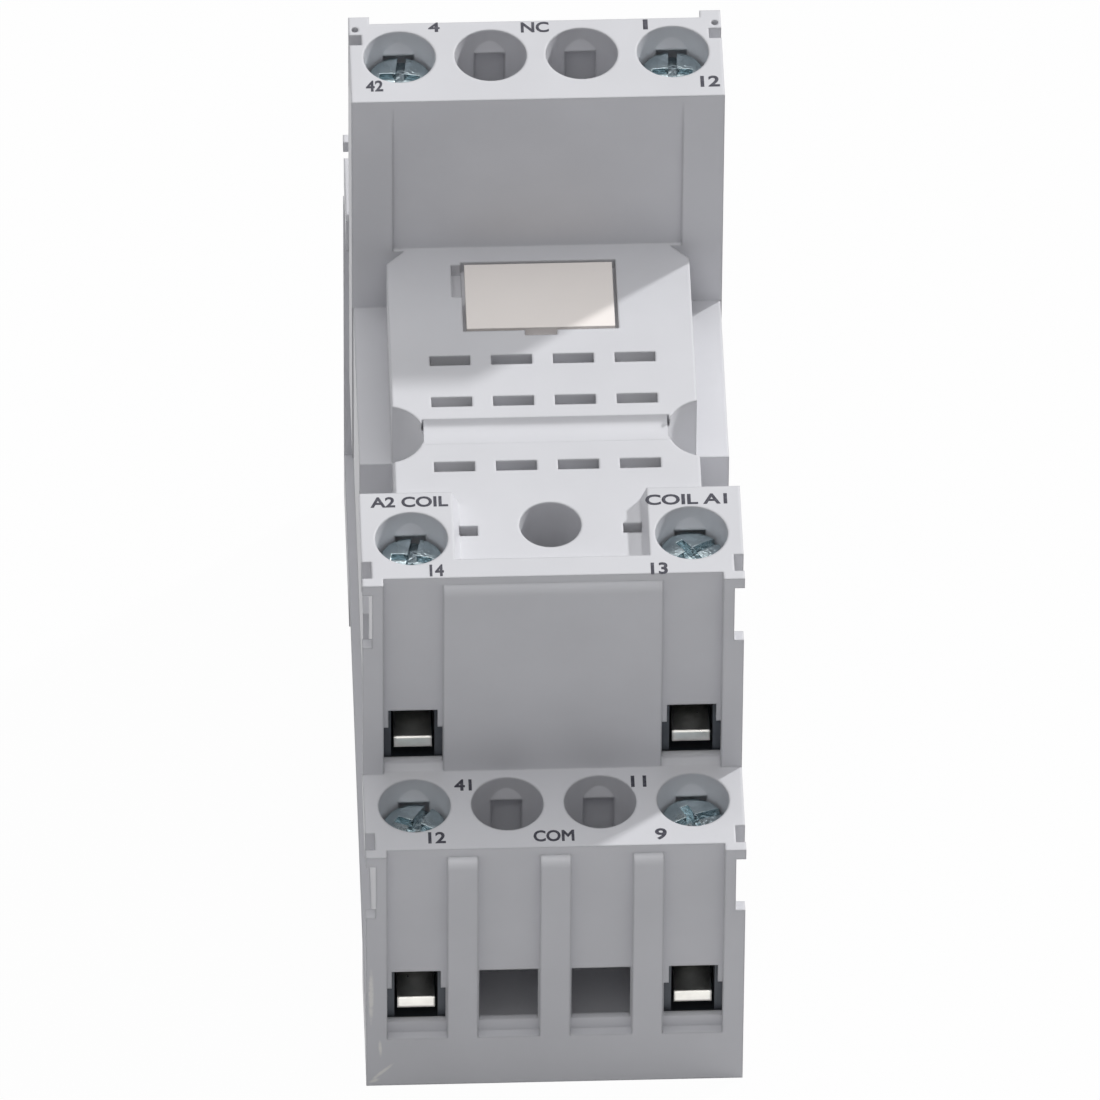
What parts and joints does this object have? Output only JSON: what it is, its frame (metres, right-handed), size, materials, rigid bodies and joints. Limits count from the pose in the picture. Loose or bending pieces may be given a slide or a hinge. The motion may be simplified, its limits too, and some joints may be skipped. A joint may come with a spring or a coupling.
{
  "type": "relay socket",
  "caption": "Rail-mount screw-terminal socket for a two-pole plug-in relay: stepped moulded body, blade deck, recessed clamp terminals, sliding rail latch.",
  "frame": {"origin": "middle of the rear face, which the socket lies on", "axes": "+Z out of the side that the relay plugs into, -Y towards the coil and common terminals, +X to the right of someone facing the front with those terminals nearest"},
  "size_m": [0.027, 0.059, 0.0573],
  "materials": {
    "housing_plastic": "fine satin moulding",
    "rear_plastic": "fine satin moulding",
    "latch_plastic": "satin moulding",
    "plate_plastic": "satin sheet",
    "screw_zinc": "bright zinc plating",
    "cage_zinc": "dark passivated zinc",
    "contact_brass": "bright plated strip"
  },
  "bodies": {
    "socket": {"housing": "housing_plastic", "base_plate": "rear_plastic", "marking_plate": "plate_plastic", "contact_com_left": "contact_brass", "contact_com_right": "contact_brass", "contact_coil_left": "contact_brass", "contact_coil_right": "contact_brass", "contact_nc_left": "contact_brass", "contact_nc_right": "contact_brass", "contact_no_left": "contact_brass", "contact_no_right": "contact_brass"},
    "latch": {"din_latch": "latch_plastic"},
    "screw_com_left_body": {"screw_com_left": "screw_zinc"},
    "cage_com_left_body": {"cage_com_left": "cage_zinc"},
    "screw_com_right_body": {"screw_com_right": "screw_zinc"},
    "cage_com_right_body": {"cage_com_right": "cage_zinc"},
    "screw_coil_left_body": {"screw_coil_left": "screw_zinc"},
    "cage_coil_left_body": {"cage_coil_left": "cage_zinc"},
    "screw_coil_right_body": {"screw_coil_right": "screw_zinc"},
    "cage_coil_right_body": {"cage_coil_right": "cage_zinc"},
    "screw_nc_left_body": {"screw_nc_left": "screw_zinc"},
    "cage_nc_left_body": {"cage_nc_left": "cage_zinc"},
    "screw_nc_right_body": {"screw_nc_right": "screw_zinc"},
    "cage_nc_right_body": {"cage_nc_right": "cage_zinc"},
    "screw_no_left_body": {"screw_no_left": "screw_zinc"},
    "cage_no_left_body": {"cage_no_left": "cage_zinc"},
    "screw_no_right_body": {"screw_no_right": "screw_zinc"},
    "cage_no_right_body": {"cage_no_right": "cage_zinc"}
  },
  "joints": [
    {"name": "latch_slide", "type": "slide", "parent": "socket", "child": "latch", "axis": [0, 1, 0], "range_m": [0, 0.003], "stiffness_N_per_m": 800, "springref_m": -0.002},
    {"name": "screw_com_left_turn", "type": "hinge", "parent": "socket", "child": "screw_com_left_body", "pos_m": [-0.0099, -0.02453, 0.014], "axis": [0, 0, -1], "range_deg": [0, 1512]},
    {"name": "cage_com_left_rise", "type": "slide", "parent": "socket", "child": "cage_com_left_body", "axis": [0, 0, 1], "range_m": [0, 0.0021]},
    {"name": "screw_com_right_turn", "type": "hinge", "parent": "socket", "child": "screw_com_right_body", "pos_m": [0.0099, -0.02453, 0.014], "axis": [0, 0, -1], "range_deg": [0, 1512]},
    {"name": "cage_com_right_rise", "type": "slide", "parent": "socket", "child": "cage_com_right_body", "axis": [0, 0, 1], "range_m": [0, 0.0021]},
    {"name": "screw_coil_left_turn", "type": "hinge", "parent": "socket", "child": "screw_coil_left_body", "pos_m": [-0.0099, -0.01682, 0.0334], "axis": [0, 0, -1], "range_deg": [0, 1512]},
    {"name": "cage_coil_left_rise", "type": "slide", "parent": "socket", "child": "cage_coil_left_body", "axis": [0, 0, 1], "range_m": [0, 0.0021]},
    {"name": "screw_coil_right_turn", "type": "hinge", "parent": "socket", "child": "screw_coil_right_body", "pos_m": [0.0099, -0.01682, 0.0334], "axis": [0, 0, -1], "range_deg": [0, 1512]},
    {"name": "cage_coil_right_rise", "type": "slide", "parent": "socket", "child": "cage_coil_right_body", "axis": [0, 0, 1], "range_m": [0, 0.0021]},
    {"name": "screw_nc_left_turn", "type": "hinge", "parent": "socket", "child": "screw_nc_left_body", "pos_m": [-0.00975, 0.01733, 0.04735], "axis": [0, 0, -1], "range_deg": [0, 1512]},
    {"name": "cage_nc_left_rise", "type": "slide", "parent": "socket", "child": "cage_nc_left_body", "axis": [0, 0, 1], "range_m": [0, 0.0021]},
    {"name": "screw_nc_right_turn", "type": "hinge", "parent": "socket", "child": "screw_nc_right_body", "pos_m": [0.00975, 0.01733, 0.04735], "axis": [0, 0, -1], "range_deg": [0, 1512]},
    {"name": "cage_nc_right_rise", "type": "slide", "parent": "socket", "child": "cage_nc_right_body", "axis": [0, 0, 1], "range_m": [0, 0.0021]},
    {"name": "screw_no_left_turn", "type": "hinge", "parent": "socket", "child": "screw_no_left_body", "pos_m": [-0.0099, 0.02453, 0.02735], "axis": [0, 0, -1], "range_deg": [0, 1512]},
    {"name": "cage_no_left_rise", "type": "slide", "parent": "socket", "child": "cage_no_left_body", "axis": [0, 0, 1], "range_m": [0, 0.0021]},
    {"name": "screw_no_right_turn", "type": "hinge", "parent": "socket", "child": "screw_no_right_body", "pos_m": [0.0099, 0.02453, 0.02735], "axis": [0, 0, -1], "range_deg": [0, 1512]},
    {"name": "cage_no_right_rise", "type": "slide", "parent": "socket", "child": "cage_no_right_body", "axis": [0, 0, 1], "range_m": [0, 0.0021]}
  ],
  "couplings": [
    {"joint": "screw_com_left_turn", "follows": "cage_com_left_rise", "rad_per_m": 12566},
    {"joint": "screw_com_right_turn", "follows": "cage_com_right_rise", "rad_per_m": 12566},
    {"joint": "screw_coil_left_turn", "follows": "cage_coil_left_rise", "rad_per_m": 12566},
    {"joint": "screw_coil_right_turn", "follows": "cage_coil_right_rise", "rad_per_m": 12566},
    {"joint": "screw_nc_left_turn", "follows": "cage_nc_left_rise", "rad_per_m": 12566},
    {"joint": "screw_nc_right_turn", "follows": "cage_nc_right_rise", "rad_per_m": 12566},
    {"joint": "screw_no_left_turn", "follows": "cage_no_left_rise", "rad_per_m": 12566},
    {"joint": "screw_no_right_turn", "follows": "cage_no_right_rise", "rad_per_m": 12566}
  ]
}
